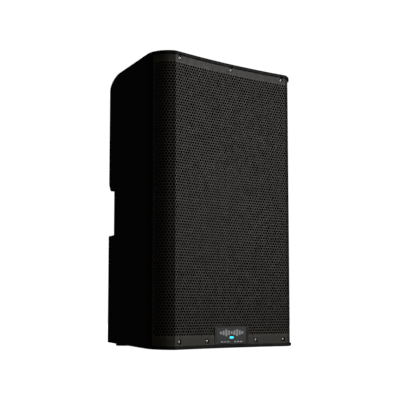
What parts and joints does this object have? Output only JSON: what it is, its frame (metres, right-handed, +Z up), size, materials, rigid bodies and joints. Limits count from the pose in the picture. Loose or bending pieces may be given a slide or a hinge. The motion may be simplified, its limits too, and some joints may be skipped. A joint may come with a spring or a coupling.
{
  "type": "pa speaker cabinet",
  "caption": "Upright powered loudspeaker cabinet with a wrap-round perforated grille, woofer and horn inside, rear amplifier, top handle and pole socket.",
  "frame": {"origin": "on the floor under the middle of the cabinet", "axes": "+Z up, the grille faces -Y, +X to the right as seen from the front"},
  "size_m": [0.32, 0.3, 0.519],
  "materials": {
    "cabinet_plastic": "fine moulded texture, satin black",
    "grille_steel": "powder coated black perforated steel",
    "grille_foam": "open-cell black foam",
    "gasket_foam": "closed-cell black foam",
    "rubber_black": "matt moulded rubber",
    "damping": "grey polyester wadding",
    "steel_zinc": "bright zinc plate",
    "screw_black": "black oxide steel",
    "badge_black": "gloss black moulding",
    "badge_grey": "satin dark grey with a plain white mark",
    "lamp_cyan": "lit cyan light guide",
    "lamp_green": "small lens, unlit",
    "circuit_green": "green solder mask",
    "basket_black": "cast aluminium, black powder coat",
    "plated_steel": "passivated steel",
    "ferrite": "fired ferrite, matt",
    "cone_paper": "treated paper pulp",
    "surround_cloth": "doped cloth half roll",
    "spider_cloth": "resin treated cotton",
    "coil_copper": "enamelled copper on a former",
    "titanium": "formed titanium foil",
    "horn_plastic": "smooth moulded black",
    "panel_paint": "fine textured black powder coat",
    "heatsink_anodised": "black anodised extrusion",
    "transformer_core": "varnished ferrite and tape",
    "capacitor_sleeve": "shrink sleeve",
    "knob_plastic": "soft touch black",
    "connector_plastic": "glass filled nylon",
    "latch_metal": "stamped release tab",
    "contact_plating": "tin plated contacts",
    "line_metal": "nickel plated",
    "slider_white": "white slider",
    "rocker_red": "translucent red rocker",
    "handle_metal": "black anodised, satin",
    "lead_red": "twin insulated lead"
  },
  "bodies": {
    "cabinet": {"front_baffle": "cabinet_plastic", "rear_shell": "cabinet_plastic", "seam_gasket": "gasket_foam", "case_screws": "screw_black", "damping_foam": "damping", "grille": "grille_steel", "grille_foam": "grille_foam", "grille_screws": "steel_zinc", "badge_bezel": "badge_black", "badge_plate": "badge_grey", "badge_lamp": "lamp_cyan", "badge_board": "circuit_green", "woofer_gasket": "gasket_foam", "woofer_basket": "basket_black", "woofer_top_plate": "plated_steel", "woofer_magnet": "ferrite", "woofer_back_plate": "plated_steel", "woofer_spider": "spider_cloth", "woofer_surround": "surround_cloth", "driver_screws": "screw_black", "horn": "horn_plastic", "hf_motor": "plated_steel", "hf_magnet": "ferrite", "hf_diaphragm": "titanium", "hf_cap": "connector_plastic", "hf_bolts": "steel_zinc", "port_tubes": "horn_plastic", "amp_panel": "panel_paint", "amp_gasket": "gasket_foam", "amp_screws": "screw_black", "heatsink": "heatsink_anodised", "amp_board": "circuit_green", "transformer": "transformer_core", "filter_capacitors": "capacitor_sleeve", "input_board": "circuit_green", "gain_pots": "plated_steel", "combo_sockets": "connector_plastic", "output_sockets": "connector_plastic", "contact_pins": "contact_plating", "line_sockets": "line_metal", "slider_frames": "plated_steel", "power_inlet": "connector_plastic", "status_lamps": "lamp_green", "handle_bar": "handle_metal", "feet": "rubber_black", "pole_socket": "connector_plastic", "rigging_inserts": "plated_steel", "driver_leads": "lead_red"},
    "woofer_cone_assembly": {"woofer_cone": "cone_paper", "woofer_coil": "coil_copper", "woofer_dust_cap": "cone_paper"},
    "gain_knob_a": {"gain_knob_a": "knob_plastic"},
    "gain_knob_b": {"gain_knob_b": "knob_plastic"},
    "jack_latch_a": {"jack_latch_a": "latch_metal"},
    "jack_latch_b": {"jack_latch_b": "latch_metal"},
    "treble_slider": {"treble_slider": "slider_white"},
    "bass_slider": {"bass_slider": "slider_white"},
    "lamp_slider": {"lamp_slider": "slider_white"},
    "power_rocker": {"power_rocker": "rocker_red"}
  },
  "joints": [
    {"name": "cone_travel", "type": "slide", "parent": "cabinet", "child": "woofer_cone_assembly", "axis": [0, -1, 0], "range_m": [-0.005, 0.005], "stiffness_N_per_m": 2500},
    {"name": "gain_a_turn", "type": "hinge", "parent": "cabinet", "child": "gain_knob_a", "pos_m": [-0.04, 0.145, 0.388], "axis": [0, -1, 0], "range_deg": [-150, 150]},
    {"name": "gain_b_turn", "type": "hinge", "parent": "cabinet", "child": "gain_knob_b", "pos_m": [0.04, 0.145, 0.388], "axis": [0, -1, 0], "range_deg": [-150, 150]},
    {"name": "latch_a_press", "type": "slide", "parent": "cabinet", "child": "jack_latch_a", "axis": [0, -1, 0], "range_m": [0, 0.0015], "stiffness_N_per_m": 800},
    {"name": "latch_b_press", "type": "slide", "parent": "cabinet", "child": "jack_latch_b", "axis": [0, -1, 0], "range_m": [0, 0.0015], "stiffness_N_per_m": 800},
    {"name": "treble_slider_slide", "type": "slide", "parent": "cabinet", "child": "treble_slider", "axis": [0, 0, 1], "range_m": [-0.002, 0.002]},
    {"name": "bass_slider_slide", "type": "slide", "parent": "cabinet", "child": "bass_slider", "axis": [0, 0, 1], "range_m": [-0.002, 0.002]},
    {"name": "lamp_slider_slide", "type": "slide", "parent": "cabinet", "child": "lamp_slider", "axis": [0, 0, 1], "range_m": [-0.002, 0.002]},
    {"name": "power_rocker_tip", "type": "hinge", "parent": "cabinet", "child": "power_rocker", "pos_m": [0.03, 0.138, 0.265], "axis": [1, 0, 0], "range_deg": [0, 16]}
  ]
}
